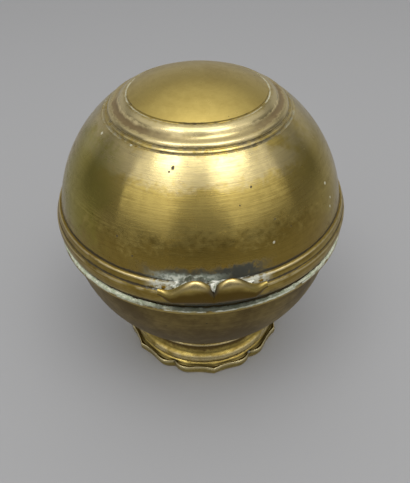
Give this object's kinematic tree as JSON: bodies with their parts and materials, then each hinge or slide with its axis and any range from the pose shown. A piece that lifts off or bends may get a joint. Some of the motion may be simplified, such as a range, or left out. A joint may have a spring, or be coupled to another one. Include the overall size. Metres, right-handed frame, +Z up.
{
  "type": "soap box",
  "caption": "Brass ball-shaped soap box: a hinged domed lid with a turned crown and a two-humped thumbpiece, on a moulded foot with a scalloped rim.",
  "frame": {"origin": "on the floor under the foot, on the axis of the ball, at the bottom centre of the bounding box", "axes": "+Z up along the ball's axis; -Y towards the thumbpiece; +Y towards the hinge; +X to the right of someone facing the thumbpiece"},
  "size_m": [0.0872, 0.0918, 0.0968],
  "materials": {
    "polished_brass": "hand-polished old brass with fine turning lines",
    "cast_brass": "cast and filed brass with dull recesses",
    "browned_brass": "brown aged brass",
    "bright_brass": "plain turned brass"
  },
  "bodies": {
    "bowl": {"bowl_shell": "browned_brass", "bowl_rim_moulding": "cast_brass", "bezel_ring": "bright_brass", "bowl_hinge_leaf": "cast_brass", "hinge_pin": "bright_brass", "foot": "polished_brass"},
    "lid": {"lid_dome": "polished_brass", "lid_rim_moulding": "cast_brass", "thumbpiece": "cast_brass", "lid_hinge_leaf": "cast_brass"}
  },
  "joints": [
    {"name": "lid_hinge", "type": "hinge", "parent": "bowl", "child": "lid", "pos_m": [0, 0.0444, 0.05451], "axis": [-1, 0, 0], "range_deg": [0, 105]}
  ]
}
